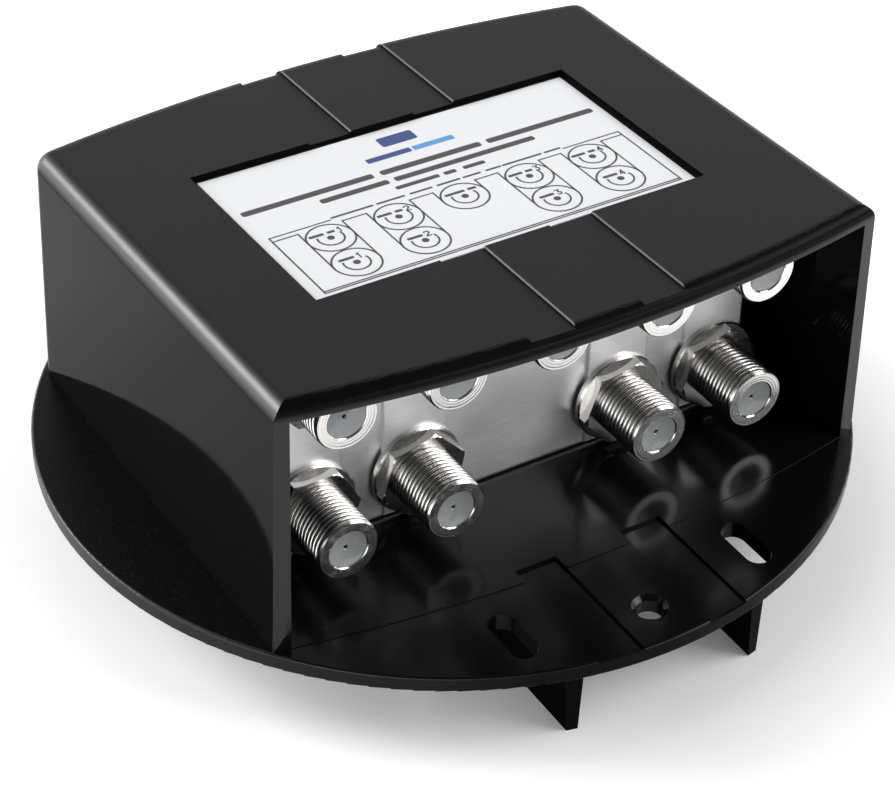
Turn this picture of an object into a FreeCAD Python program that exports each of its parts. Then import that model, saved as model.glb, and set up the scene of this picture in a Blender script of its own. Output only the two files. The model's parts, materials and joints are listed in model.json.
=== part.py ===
import FreeCAD, Part
import math
import os

# Coaxial combiner in a weatherproof housing for a mast or a wall.
# Frame: +Z up, the open mouth of the hood faces -Y, origin on the axis of the round plate,
# level with the feet of the two ribs that the housing stands on. Millimetres.

# Round plate, which runs just outside the corners of the hood
plate_margin = 0.11
plate_thickness = 2.6
plate_edge_round = 0.4

# Ribs under the plate, which straddle a mast
rib_height = 9.3
rib_outer_x = 16.3
rib_root_width = 2.4
rib_foot_width = 1.6

# Strap slots and wall screw holes in the two lips of the plate, measured in from its rim
slot_offset_x = 19.35
slot_inset = 11.1
slot_width = 4.0
slot_length = 9.6
wall_hole_inset = 6.8
wall_hole_radius = 1.95
wall_hole_bevel = 0.65

# Hood
hood_wall = 2.5
roof_thickness = 2.8
mouth_room = 10.5
hood_back_y = 42.6
hood_end_arc_radius = 230.0
side_draft = 0.028
inner_side_draft = 0.017
back_draft = 0.025
roof_fall = 0.0235
inner_roof_fall = 0.0215
hood_back_corner_radius = 3.0
hood_roof_round = 2.8
mouth_top_round = 1.9
inner_corner_radius = 1.5
floor_step = 0.12

# Pair of shallow bands that run over the front lip, the roof, the back and the back lip
band_inner_x = 5.36
band_outer_x = 12.1
band_depth = 0.4
band_notch = 2.9
band_edge_bevel = 0.2

# Sunk label panel in the roof
panel_half_width = 31.35
panel_front_y = -18.7
panel_back_y = 18.1
panel_depth = 1.0
label_thickness = 0.2
label_margin = 0.75

# Combiner case
case_front_y = -20.0
case_depth = 28.0
case_front_wall = 2.2
case_wall = 1.8
case_corner_radius = 1.5
case_front_round = 0.8
case_side_gap = 6.4
case_roof_gap = 0.3
case_edge_margin = 0.5
case_top_margin = 6.5
strip_half_width = 5.2
strip_height = 0.6
strip_round = 0.35
strip_end_margin = 0.9

# Connector rows
connector_pitch = 16.97
lower_row_height = 7.55
row_spacing = 22.0

# F connector shell, washer, insulator and contact
washer_radius = 7.05
washer_thickness = 0.8
washer_chamfer = 0.25
hex_across_flats = 12.0
hex_thickness = 1.7
hex_corner_bevel = 0.45
hex_bevel_slope = 0.6
neck_radius = 4.25
neck_length = 0.5
barrel_radius = 4.7
barrel_reach = 11.1
barrel_end_chamfer = 0.25
tail_radius = 4.0
bore_radius = 2.95
insulator_recess = 0.2
insulator_dish = 0.55
insulator_play = 0.05
contact_radius = 0.95
contact_bore_radius = 0.3
contact_mouth_radius = 0.45
contact_mouth_depth = 0.15
contact_setback = 0.3
contact_tail_radius = 0.45
contact_tail_stickout = 1.0

# Circuit board and what it carries
board_standoff = 4.0
board_thickness = 1.6
board_play = 0.2
board_ledge = 1.5
board_hole_play = 0.1
coil_radius = 1.6
coil_inner_radius = 1.1
coil_length = 5.0
coil_offset_x = 2.1
coil_spacing_z = 6.2
chip_width = 2.0
chip_height = 1.25
chip_thickness = 0.8
core_width = 6.0
core_height = 5.0
core_thickness = 4.0
core_hole_radius = 0.8
core_hole_offset = 1.5
core_spacing_z = 6.5

# Shield partitions between the channels
shield_thickness = 0.5
inner_shield_x = 6.7
outer_shield_x = 25.4

# Back cover of the case and its screws
cover_thickness = 1.2
cover_lip = 0.9
cover_play = 0.05
cover_post_radius = 2.6
cover_post_inset = 3.9
cover_screw_radius = 1.0
cover_screw_length = 6.0
cover_head_radius = 1.9
cover_head_height = 1.2

# Screws that hold the case to the plate from below
case_screw_x = 10.4
case_screw_y = -4.0
case_screw_radius = 1.5
case_screw_head_radius = 2.75
case_screw_head_height = 1.9
case_screw_length = 7.5
case_screw_play = 0.15
case_boss_radius = 2.8
case_boss_height = 6.2
screw_slot_share = 0.62
screw_slot_width = 0.7
screw_slot_depth = 0.8

# How far a cutting solid runs past what it cuts
CUT = 2.0

# An edge counts as upright when it rises this many times as far as it runs
UPRIGHT_RATIO = 5.0

# Places in a stack of three, and the columns of connectors that stand on strips
STACK_STEPS = (-1, 0, 1)
STRIP_COLUMNS = (-2, -1, 1, 2)

# Levels and places that follow from the sizes above
plate_bottom_z = rib_height
plate_top_z = plate_bottom_z + plate_thickness
floor_z = plate_top_z + floor_step
case_back_y = case_front_y + case_depth
strip_face_y = case_front_y - strip_height
lower_row_z = floor_z + lower_row_height
upper_row_z = lower_row_z + row_spacing
case_top_z = upper_row_z + case_top_margin
case_half_width = 2 * connector_pitch + strip_half_width + case_edge_margin
mouth_half_width = case_half_width + case_side_gap
hood_half_width = mouth_half_width + hood_wall
barrel_end_y = strip_face_y - barrel_reach
hood_front_y = barrel_end_y - mouth_room
case_cavity_front_y = case_front_y + case_front_wall
board_front_y = case_cavity_front_y + board_standoff
board_back_y = board_front_y + board_thickness
cover_seat_y = case_back_y - cover_thickness
roof_inside_back_z = case_top_z + case_roof_gap
mouth_top_z = roof_inside_back_z + inner_roof_fall * (case_back_y - hood_front_y)
roof_front_z = mouth_top_z + roof_thickness
cavity_half_width = case_half_width - case_wall
cavity_bottom_z = floor_z + case_wall
cavity_top_z = case_top_z - case_wall
hood_bow = hood_end_arc_radius - math.sqrt(hood_end_arc_radius ** 2 - hood_half_width ** 2)
hood_corner_y = max(-hood_front_y, hood_back_y) - hood_bow
plate_radius = math.hypot(hood_half_width, hood_corner_y) + plate_margin
slot_offset_y = plate_radius - slot_inset
wall_hole_offset_y = plate_radius - wall_hole_inset

# Reach of a cutting solid that clears a whole side
REACH = 3 * plate_radius

# Columns of the connectors in the upper and the lower row
INPUT_COLUMNS = {
    "sat_input_1": -2,
    "sat_input_2": -1,
    "terrestrial_input": 0,
    "sat_input_3": 1,
    "sat_input_4": 2,
}
OUTPUT_COLUMNS = {
    "output_1": -2,
    "output_2": -1,
    "output_3": 1,
    "output_4": 2,
}

# Degrees by which each hexagon was left turned when its connector was tightened
HEX_TURNS = {
    "sat_input_1": 10,
    "sat_input_2": 4,
    "terrestrial_input": 20,
    "sat_input_3": 26,
    "sat_input_4": 9,
    "output_1": 0,
    "output_2": 14,
    "output_3": 9,
    "output_4": 17,
}


def vec(x, y, z):
    return FreeCAD.Vector(x, y, z)


def block(x0, x1, y0, y1, z0, z1):
    return Part.makeBox(x1 - x0, y1 - y0, z1 - z0, vec(x0, y0, z0))


def rod_y(x, z, radius, y0, y1):
    """Round bar along Y."""
    return Part.makeCylinder(radius, y1 - y0, vec(x, y0, z), vec(0, 1, 0))


def rod_z(x, y, radius, z0, z1):
    """Round bar along Z."""
    return Part.makeCylinder(radius, z1 - z0, vec(x, y, z0), vec(0, 0, 1))


def edges_where(shape, test):
    return [edge for edge in shape.Edges if test(edge)]


def is_vertical(edge):
    box = edge.BoundBox
    return box.ZLength > UPRIGHT_RATIO * max(box.XLength, box.YLength)


def tube_profile_y(x, z, points):
    """Solid of revolution about the line through (x, z) along Y, from (radius, y) points."""
    wire = Part.makePolygon([vec(x + r, y, z) for r, y in points + points[:1]])
    return Part.Face(wire).revolve(vec(x, 0, z), vec(0, 1, 0), 360)


def roof_z(y):
    """Height of the outer roof plane at depth y."""
    return roof_front_z - roof_fall * (y - hood_front_y)


def inner_roof_z(y):
    return mouth_top_z - inner_roof_fall * (y - hood_front_y)


def bow(centre_y, radius, z, height, taper):
    """Round bar so large that its side is the bowed end of the hood; taper leans it inwards."""
    if taper == 0:
        return Part.makeCylinder(radius, height, vec(0, centre_y, z))
    return Part.makeCone(radius, radius - taper * height, height, vec(0, centre_y, z))


def wedge(half_width, draft, y0, y1, z, height):
    """Bar along Y whose two sides lean inwards by the draft."""
    head = half_width - draft * height
    corners = [
        vec(-half_width, y0, z),
        vec(half_width, y0, z),
        vec(head, y0, z + height),
        vec(-head, y0, z + height),
    ]
    section = Part.Face(Part.makePolygon(corners + corners[:1]))
    return section.extrude(vec(0, y1 - y0, 0))


def above_plane(height_at):
    """Solid that fills everything above a plane that slopes along Y."""
    y0 = -REACH
    y1 = REACH
    top = height_at(y0) + REACH
    corners = [
        vec(-REACH, y0, height_at(y0)),
        vec(-REACH, y1, height_at(y1)),
        vec(-REACH, y1, top),
        vec(-REACH, y0, top),
    ]
    side = Part.Face(Part.makePolygon(corners + corners[:1]))
    return side.extrude(vec(2 * REACH, 0, 0))


def hood_block():
    """Outside of the hood with sharp edges: leaning sides, bowed ends, sloping roof."""
    height = roof_front_z + CUT - plate_top_z
    y0 = hood_front_y - CUT
    y1 = hood_back_y + CUT
    r = hood_end_arc_radius
    body = wedge(hood_half_width, side_draft, y0, y1, plate_top_z, height)
    body = body.common(bow(hood_front_y + r, r, plate_top_z, height, 0))
    body = body.common(bow(hood_back_y - r, r, plate_top_z, height, back_draft))
    return body.cut(above_plane(roof_z))


def mouth_top_waste():
    """Sliver that rounding the top edge of the mouth takes away, and that edge only."""
    body = hood_block()
    front_top = edges_where(
        body,
        lambda e: e.BoundBox.YMax < hood_front_y / 2 and e.BoundBox.ZMin > mouth_top_z,
    )
    return body.cut(body.makeFillet(mouth_top_round, front_top))


def hood_body():
    """Outside of the hood, filled, with its roof and back corners rounded."""
    body = hood_block()
    back_edges = edges_where(body, lambda e: is_vertical(e) and e.CenterOfMass.y > 0)
    body = body.makeFillet(hood_back_corner_radius, back_edges)
    side_and_back = edges_where(
        body,
        lambda e: e.BoundBox.ZMin > mouth_top_z - roof_thickness and e.BoundBox.YMax > hood_front_y / 2,
    )
    body = body.makeFillet(hood_roof_round, side_and_back)
    return body.cut(mouth_top_waste())


def hood_cavity():
    """Space under the hood, open past the mouth."""
    height = mouth_top_z + CUT - floor_z
    y0 = hood_front_y - CUT
    y1 = hood_back_y + CUT
    r = hood_end_arc_radius
    space = wedge(mouth_half_width, inner_side_draft, y0, y1, floor_z, height)
    space = space.common(bow(hood_back_y - r, r - hood_wall, floor_z, height, back_draft))
    corners = edges_where(space, lambda e: is_vertical(e) and e.CenterOfMass.y > 0)
    space = space.makeFillet(inner_corner_radius, corners)
    return space.cut(above_plane(inner_roof_z))


def round_plate():
    plate = rod_z(0, 0, plate_radius, plate_bottom_z, plate_top_z)
    rims = edges_where(plate, lambda e: isinstance(e.Curve, Part.Circle))
    return plate.makeFillet(plate_edge_round, rims)


def mast_rib(side):
    """One rib under the plate, from rim to rim, narrower at its foot."""
    middle = side * (rib_outer_x - rib_root_width / 2)
    root = rib_root_width / 2
    foot = rib_foot_width / 2
    points = [
        vec(middle - root, -plate_radius, plate_bottom_z),
        vec(middle + root, -plate_radius, plate_bottom_z),
        vec(middle + foot, -plate_radius, 0),
        vec(middle - foot, -plate_radius, 0),
    ]
    section = Part.Face(Part.makePolygon(points + points[:1]))
    bar = section.extrude(vec(0, 2 * plate_radius, 0))
    return bar.common(rod_z(0, 0, plate_radius - plate_edge_round, 0, plate_bottom_z))


def strap_slot(x, y):
    """Cutter for a slot that is long along Y, with round ends."""
    straight = (slot_length - slot_width) / 2
    low = plate_bottom_z - CUT
    high = plate_top_z + CUT
    middle = block(x - slot_width / 2, x + slot_width / 2, y - straight, y + straight, low, high)
    front = rod_z(x, y - straight, slot_width / 2, low, high)
    back = rod_z(x, y + straight, slot_width / 2, low, high)
    return middle.fuse([front, back])


def wall_hole(y):
    """Cutter for a screw hole, bevelled at the top of the plate."""
    hole = rod_z(0, y, wall_hole_radius, plate_bottom_z - CUT, plate_top_z + CUT)
    bevel = Part.makeCone(
        wall_hole_radius,
        wall_hole_radius + 2 * wall_hole_bevel,
        2 * wall_hole_bevel,
        vec(0, y, plate_top_z - wall_hole_bevel),
        vec(0, 0, 1),
    )
    return hole.fuse(bevel)


def roof_slab(x0, x1, y0, y1, depth):
    """Cutter of a given depth below the sloping roof plane, open upwards."""
    corners = [
        vec(x0, y0, roof_z(y0) - depth),
        vec(x0, y1, roof_z(y1) - depth),
        vec(x0, y1, roof_z(y0) + CUT),
        vec(x0, y0, roof_z(y0) + CUT),
    ]
    side = Part.Face(Part.makePolygon(corners + corners[:1]))
    return side.extrude(vec(x1 - x0, 0, 0))


def band_core(x0, x1):
    """Hood as a band leaves it: roof, back edge and back wall set in by the band's depth."""
    low = plate_top_z - band_depth
    height = roof_front_z + CUT - low
    r = hood_end_arc_radius
    core = block(x0, x1, hood_front_y - CUT, hood_back_y + CUT, low, low + height)
    core = core.common(bow(hood_back_y - r, r - band_depth, low, height, back_draft))
    core = core.cut(above_plane(lambda y: roof_z(y) - band_depth))
    back_edge = edges_where(
        core,
        lambda e: e.BoundBox.YMin > hood_back_y / 2 and e.BoundBox.ZMin > case_top_z,
    )
    return core.makeFillet(hood_roof_round - band_depth, back_edge)


def band_brow(x, outward):
    """Cutter that bevels the long roof edge of a band at x; outward points out of the band."""
    y0 = hood_front_y - CUT
    y1 = hood_back_y + CUT
    z = roof_z(y0)
    corners = [
        vec(x, y0, z - band_edge_bevel),
        vec(x + outward * (band_edge_bevel + CUT), y0, z + CUT),
        vec(x, y0, z + CUT),
    ]
    section = Part.Face(Part.makePolygon(corners + corners[:1]))
    return section.extrude(vec(0, y1 - y0, roof_z(y1) - z))


def band_cutters(side):
    """Shallow band on one side of the middle: on the front lip, and from the mouth to the back lip."""
    x0 = min(side * band_inner_x, side * band_outer_x)
    x1 = max(side * band_inner_x, side * band_outer_x)
    low = plate_top_z - band_depth
    front_lip = block(x0, x1, -plate_radius - CUT, hood_front_y + band_notch, low, floor_z + CUT)
    over = block(x0, x1, hood_front_y - CUT, plate_radius + CUT, low, roof_front_z + CUT)
    over = over.cut(band_core(x0, x1))
    return [front_lip, over, band_brow(x0, -1), band_brow(x1, 1)]


def case_screw_places():
    return [(-case_screw_x, case_screw_y), (case_screw_x, case_screw_y)]


def weather_housing():
    """Plate, hood and ribs, one moulding."""
    mast_ribs = [mast_rib(-1), mast_rib(1)]
    housing = round_plate().fuse([hood_body()] + mast_ribs)
    cutters = [hood_cavity()]
    cutters.append(roof_slab(-panel_half_width, panel_half_width, panel_front_y, panel_back_y, panel_depth))
    for side in (-1, 1):
        cutters.extend(band_cutters(side))
        cutters.append(wall_hole(side * wall_hole_offset_y))
        for end in (-1, 1):
            cutters.append(strap_slot(side * slot_offset_x, end * slot_offset_y))
    for x, y in case_screw_places():
        radius = case_screw_radius + case_screw_play
        cutters.append(rod_z(x, y, radius, plate_bottom_z - CUT, floor_z + CUT))
    return housing.cut(cutters).removeSplitter()


def label():
    """Thin label on the floor of the sunk panel."""
    sheet = roof_slab(
        label_margin - panel_half_width,
        panel_half_width - label_margin,
        panel_front_y + label_margin,
        panel_back_y - label_margin,
        panel_depth,
    )
    return sheet.cut(above_plane(lambda y: roof_z(y) - panel_depth + label_thickness))


def connector_columns():
    """Every connector as name, x, z."""
    upper = [(name, column * connector_pitch, upper_row_z) for name, column in INPUT_COLUMNS.items()]
    lower = [(name, column * connector_pitch, lower_row_z) for name, column in OUTPUT_COLUMNS.items()]
    return upper + lower


def seat_y(x):
    """Depth of the face that the washer at x sits on: a strip, or the bare front in the middle."""
    if abs(x) < connector_pitch / 2:
        return case_front_y
    return strip_face_y


def case_strip(x):
    """Raised strip behind one column of connectors."""
    bar = block(
        x - strip_half_width,
        x + strip_half_width,
        strip_face_y,
        case_front_y + case_front_wall / 2,
        floor_z + strip_end_margin,
        case_top_z - strip_end_margin,
    )
    long_edges = edges_where(bar, lambda e: is_vertical(e) and e.CenterOfMass.y < case_front_y)
    return bar.makeFillet(strip_round, long_edges)


def cover_post_places():
    x = case_half_width - cover_post_inset
    low = floor_z + cover_post_inset
    high = case_top_z - cover_post_inset
    return [(-x, low), (x, low), (-x, high), (x, high)]


def combiner_case():
    """Cast box, open at the back, with strips, connector holes, board ledge and screw posts."""
    w = case_half_width
    box = block(-w, w, case_front_y, case_back_y, floor_z, case_top_z)
    along_y = edges_where(box, lambda e: e.BoundBox.YLength > case_depth / 2)
    box = box.makeFillet(case_corner_radius, along_y)
    front_rim = edges_where(box, lambda e: e.BoundBox.YMax < case_front_y + case_wall / 2)
    box = box.makeFillet(case_front_round, front_rim)
    strips = [case_strip(column * connector_pitch) for column in STRIP_COLUMNS]
    box = box.fuse(strips)
    c = cavity_half_width
    n = c - board_ledge
    low = cavity_bottom_z
    high = cavity_top_z
    wide = block(-c, c, board_front_y, case_back_y + CUT, low, high)
    narrow = block(-n, n, case_cavity_front_y, board_front_y, low + board_ledge, high - board_ledge)
    lip = cover_lip
    seat = block(-c - lip, c + lip, cover_seat_y, case_back_y + CUT, low - lip, high + lip)
    box = box.cut([wide, narrow, seat])
    posts = [rod_y(x, z, cover_post_radius, board_back_y, cover_seat_y) for x, z in cover_post_places()]
    bosses = []
    for x, y in case_screw_places():
        bosses.append(rod_z(x, y, case_boss_radius, floor_z + case_wall / 2, floor_z + case_boss_height))
    box = box.fuse(posts + bosses)
    holes = []
    for name, x, z in connector_columns():
        holes.append(rod_y(x, z, tail_radius, strip_face_y - CUT, case_cavity_front_y + CUT))
    for x, z in cover_post_places():
        holes.append(rod_y(x, z, cover_screw_radius, cover_seat_y - cover_screw_length, case_back_y))
    for x, y in case_screw_places():
        depth = case_screw_length - plate_thickness - floor_step
        holes.append(rod_z(x, y, case_screw_radius, floor_z - CUT, floor_z + depth))
    return box.cut(holes).removeSplitter()


def hexagon(x, z, across_flats, turn, y0, y1):
    """Hexagonal prism along Y, turned by some degrees from a flat on top."""
    corner = across_flats / 2 / math.cos(math.pi / 6)
    points = []
    for k in range(7):
        angle = math.radians(turn) + math.pi / 3 * k
        points.append(vec(x + corner * math.cos(angle), y0, z + corner * math.sin(angle)))
    return Part.Face(Part.makePolygon(points)).extrude(vec(0, y1 - y0, 0))


def connector_shell(x, z, turn):
    """Turned shell: hexagon with bevelled corners, neck, plain barrel for the thread, tail, bore."""
    seat = seat_y(x) - washer_thickness
    hex_front = seat - hex_thickness
    neck_front = hex_front - neck_length
    end = seat_y(x) - barrel_reach
    chamfer = barrel_end_chamfer
    corner = hex_across_flats / 2 / math.cos(math.pi / 6)
    nut = hexagon(x, z, hex_across_flats, turn, hex_front, seat)
    bevel_depth = hex_corner_bevel * hex_bevel_slope
    bevel = tube_profile_y(x, z, [
        (0, seat),
        (corner, seat),
        (corner, hex_front + bevel_depth),
        (corner - hex_corner_bevel, hex_front),
        (0, hex_front),
    ])
    nut = nut.common(bevel)
    barrel = tube_profile_y(x, z, [
        (0, hex_front + hex_thickness / 2),
        (neck_radius, hex_front + hex_thickness / 2),
        (neck_radius, neck_front),
        (barrel_radius, neck_front - chamfer),
        (barrel_radius, end + chamfer),
        (barrel_radius - chamfer, end),
        (0, end),
    ])
    tail = rod_y(x, z, tail_radius, seat - hex_thickness / 2, case_cavity_front_y)
    bore = rod_y(x, z, bore_radius, end - CUT, case_cavity_front_y + CUT)
    return nut.fuse([barrel, tail]).cut(bore)


def insulator(x, z):
    """Plug that fills the bore, dished at the front, with a funnel into the contact."""
    end = seat_y(x) - barrel_reach
    rim_y = end + insulator_recess
    dish_y = rim_y + insulator_dish
    radius = bore_radius - insulator_play
    half = radius / 2
    half_y = rim_y + insulator_dish * (1 - (half / radius) ** 2)
    mouth_y = dish_y + contact_mouth_depth
    front = [vec(radius, rim_y, 0), vec(half, half_y, 0), vec(contact_mouth_radius, dish_y, 0)]
    dish = Part.Arc(front[0], front[1], front[2]).toShape()
    points = [
        front[2],
        vec(contact_bore_radius, mouth_y, 0),
        vec(contact_bore_radius, dish_y + contact_setback, 0),
        vec(contact_radius, dish_y + contact_setback, 0),
        vec(contact_radius, case_cavity_front_y, 0),
        vec(radius, case_cavity_front_y, 0),
        front[0],
    ]
    rest = Part.makePolygon(points)
    profile = Part.Face(Part.Wire([dish] + rest.Edges))
    plug = profile.revolve(vec(0, 0, 0), vec(0, 1, 0), 360)
    plug.translate(vec(x, 0, z))
    return plug


def contact(x, z):
    """Spring contact: a tube in the insulator and a thin tail through the circuit board."""
    end = seat_y(x) - barrel_reach
    front = end + insulator_recess + insulator_dish + contact_setback
    tail_end = board_back_y + contact_tail_stickout
    socket_end = case_cavity_front_y - CUT
    return tube_profile_y(x, z, [
        (contact_bore_radius, front),
        (contact_radius, front),
        (contact_radius, case_cavity_front_y),
        (contact_tail_radius, case_cavity_front_y),
        (contact_tail_radius, tail_end),
        (0, tail_end),
        (0, socket_end),
        (contact_bore_radius, socket_end),
    ])


def washer(x, z):
    """Ring between the hexagon and the case, bevelled at its outer front edge."""
    seat = seat_y(x)
    front = seat - washer_thickness
    return tube_profile_y(x, z, [
        (tail_radius, front),
        (washer_radius - washer_chamfer, front),
        (washer_radius, front + washer_chamfer),
        (washer_radius, seat),
        (tail_radius, seat),
    ])


def circuit_board():
    """Board on the ledge of the case, drilled for the nine contact tails."""
    half = cavity_half_width - board_play
    low = cavity_bottom_z + board_play
    high = cavity_top_z - board_play
    board = block(-half, half, board_front_y, board_back_y, low, high)
    radius = contact_tail_radius + board_hole_play
    holes = [
        rod_y(x, z, radius, board_front_y - CUT, board_back_y + CUT)
        for name, x, z in connector_columns()
    ]
    return board.cut(holes)


def stack_z(step, spacing):
    """Height of a part in a stack of three, centred between the two connector rows."""
    return (lower_row_z + upper_row_z) / 2 + step * spacing


def channel_x(column, side):
    """Place of a part beside the middle of a channel; side -1 is nearer the middle of the case."""
    return column * connector_pitch + math.copysign(coil_offset_x, column) * side


def filter_coils(column):
    """Three air coils of one channel, standing on end against the board."""
    coils = []
    for step in STACK_STEPS:
        x = channel_x(column, -1 if step else 1)
        y = board_back_y + coil_radius
        z = stack_z(step, coil_spacing_z)
        body = rod_z(x, y, coil_radius, z - coil_length / 2, z + coil_length / 2)
        hollow = rod_z(x, y, coil_inner_radius, z - coil_length / 2, z + coil_length / 2)
        coils.append(body.cut(hollow))
    return Part.makeCompound(coils)


def chip_capacitors():
    """Chips beside the coils, three for each channel."""
    chips = []
    for column in STRIP_COLUMNS:
        for step in STACK_STEPS:
            x = channel_x(column, 1 if step else -1)
            z = stack_z(step, coil_spacing_z)
            chips.append(block(
                x - chip_width / 2,
                x + chip_width / 2,
                board_back_y,
                board_back_y + chip_thickness,
                z - chip_height / 2,
                z + chip_height / 2,
            ))
    return Part.makeCompound(chips)


def splitter_core(step):
    """Ferrite block with two holes, flat on the board in the middle channel."""
    z = stack_z(step, core_spacing_z)
    y0 = board_back_y
    y1 = board_back_y + core_thickness
    body = block(-core_width / 2, core_width / 2, y0, y1, z - core_height / 2, z + core_height / 2)
    middle_y = (y0 + y1) / 2
    low = z - core_height
    high = z + core_height
    holes = [rod_z(side * core_hole_offset, middle_y, core_hole_radius, low, high) for side in (-1, 1)]
    return body.cut(holes)


def shield_partition(x):
    """Tin sheet from the board to the cover, from the floor of the case to its roof."""
    half = shield_thickness / 2
    return block(x - half, x + half, board_back_y, cover_seat_y, cavity_bottom_z, cavity_top_z)


def case_cover():
    """Plate in the rear recess of the case, with holes for its four screws."""
    half = cavity_half_width + cover_lip - cover_play
    low = cavity_bottom_z - cover_lip + cover_play
    high = cavity_top_z + cover_lip - cover_play
    plate = block(-half, half, cover_seat_y, case_back_y, low, high)
    holes = [
        rod_y(x, z, cover_screw_radius, cover_seat_y - CUT, case_back_y + CUT)
        for x, z in cover_post_places()
    ]
    return plate.cut(holes)


def cross_screw(shank_radius, shank_length, head_radius, head_height):
    """Screw along +Z with the underside of its head at z = 0 and a bevelled, cross-slotted head below."""
    shank = Part.makeCylinder(shank_radius, shank_length)
    head = Part.makeCylinder(head_radius, head_height, vec(0, 0, -head_height))
    rim = edges_where(head, lambda e: e.BoundBox.ZMax < -head_height / 2)
    head = head.makeChamfer(head_height / 3, rim)
    reach = head_radius * screw_slot_share
    half = screw_slot_width / 2
    top = screw_slot_depth - head_height
    one = block(-reach, reach, -half, half, -head_height - CUT, top)
    other = block(-half, half, -reach, reach, -head_height - CUT, top)
    return shank.fuse(head).cut(one.fuse(other))


def cover_screws():
    screws = []
    for x, z in cover_post_places():
        screw = cross_screw(
            cover_screw_radius,
            cover_screw_length,
            cover_head_radius,
            cover_head_height,
        )
        screw.rotate(vec(0, 0, 0), vec(1, 0, 0), 90)
        screw.translate(vec(x, case_back_y, z))
        screws.append(screw)
    return Part.makeCompound(screws)


def case_screws():
    screws = []
    for x, y in case_screw_places():
        screw = cross_screw(
            case_screw_radius,
            case_screw_length,
            case_screw_head_radius,
            case_screw_head_height,
        )
        screw.translate(vec(x, y, plate_bottom_z))
        screws.append(screw)
    return Part.makeCompound(screws)


def build():
    nodes = {
        "weather_housing": weather_housing(),
        "label": label(),
        "combiner_case": combiner_case(),
        "case_cover": case_cover(),
        "cover_screws": cover_screws(),
        "case_screws": case_screws(),
        "circuit_board": circuit_board(),
        "chip_capacitors": chip_capacitors(),
        "connector_washers": Part.makeCompound([washer(x, z) for name, x, z in connector_columns()]),
    }
    for name, x, z in connector_columns():
        nodes[name + "_connector"] = connector_shell(x, z, HEX_TURNS[name])
        nodes[name + "_insulator"] = insulator(x, z)
        nodes[name + "_contact"] = contact(x, z)
    for number, column in enumerate(STRIP_COLUMNS, start=1):
        nodes["filter_coils_" + str(number)] = filter_coils(column)
    for number, step in enumerate(STACK_STEPS, start=1):
        nodes["splitter_core_" + str(number)] = splitter_core(step)
    shields = (-outer_shield_x, -inner_shield_x, inner_shield_x, outer_shield_x)
    for number, x in enumerate(shields, start=1):
        nodes["shield_partition_" + str(number)] = shield_partition(x)
    return nodes


os.makedirs("parts", exist_ok=True)
for node, shape in build().items():
    shape.exportStep(os.path.join("parts", node + ".step"))
    print(node, "solids", len(shape.Solids), "valid", shape.isValid(), "volume", round(shape.Volume, 2))
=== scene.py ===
import json
import math

import bmesh
import bpy
from mathutils import Matrix, Vector


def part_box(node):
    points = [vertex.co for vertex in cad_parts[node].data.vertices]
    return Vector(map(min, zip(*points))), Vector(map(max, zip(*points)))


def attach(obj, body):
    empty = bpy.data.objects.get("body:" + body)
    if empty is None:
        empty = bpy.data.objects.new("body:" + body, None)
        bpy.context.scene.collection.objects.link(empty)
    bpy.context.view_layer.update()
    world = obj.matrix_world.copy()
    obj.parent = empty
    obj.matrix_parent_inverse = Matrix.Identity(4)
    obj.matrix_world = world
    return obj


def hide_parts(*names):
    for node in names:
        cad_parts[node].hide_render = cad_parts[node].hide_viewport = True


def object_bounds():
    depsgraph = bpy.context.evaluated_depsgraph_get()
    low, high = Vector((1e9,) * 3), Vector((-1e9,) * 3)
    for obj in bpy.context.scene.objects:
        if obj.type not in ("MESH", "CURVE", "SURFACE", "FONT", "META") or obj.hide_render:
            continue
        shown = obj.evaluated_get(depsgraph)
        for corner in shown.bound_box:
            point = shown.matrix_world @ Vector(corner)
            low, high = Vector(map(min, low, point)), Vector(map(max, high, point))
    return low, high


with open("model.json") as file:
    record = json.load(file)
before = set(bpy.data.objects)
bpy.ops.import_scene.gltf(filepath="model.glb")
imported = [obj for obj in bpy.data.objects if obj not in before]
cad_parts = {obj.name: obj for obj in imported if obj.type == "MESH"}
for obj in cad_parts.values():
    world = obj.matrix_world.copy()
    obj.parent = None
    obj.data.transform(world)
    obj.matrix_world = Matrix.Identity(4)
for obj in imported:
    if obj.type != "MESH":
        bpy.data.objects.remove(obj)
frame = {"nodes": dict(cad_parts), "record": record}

cad_low, cad_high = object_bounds()
MM = 0.001
scene = bpy.context.scene
nodes = frame["nodes"]

# Camera, as the photograph was taken
IMAGE_WIDTH = 895
FOCAL_PIXELS = 2525.9
SENSOR_MM = 36.0
CAMERA_PLACE = Vector((-160.02, -259.96, 238.76)) * MM
CAMERA_AZIMUTH = math.radians(31.75)
CAMERA_DOWN = math.radians(36.48)
CAMERA_ROLL = math.radians(0.97)

# Floor. It glows for rays that show it: two ranges of the distance from the middle and one of X,
# in metres, each with the glow at its two ends.
FLOOR_COLOUR = (0.95, 0.95, 0.955, 1.0)
FLOOR_RADIUS = 4.0
FLOOR_ROUGH = 0.9
NEAR_GLOW = (0.065, 0.105, 0.10, 0.62)
FAR_GLOW = (0.3, 0.9, 0.0, 0.6)
LEFT_GLOW = (0.0, -0.05, 0.0, 0.28)

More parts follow.
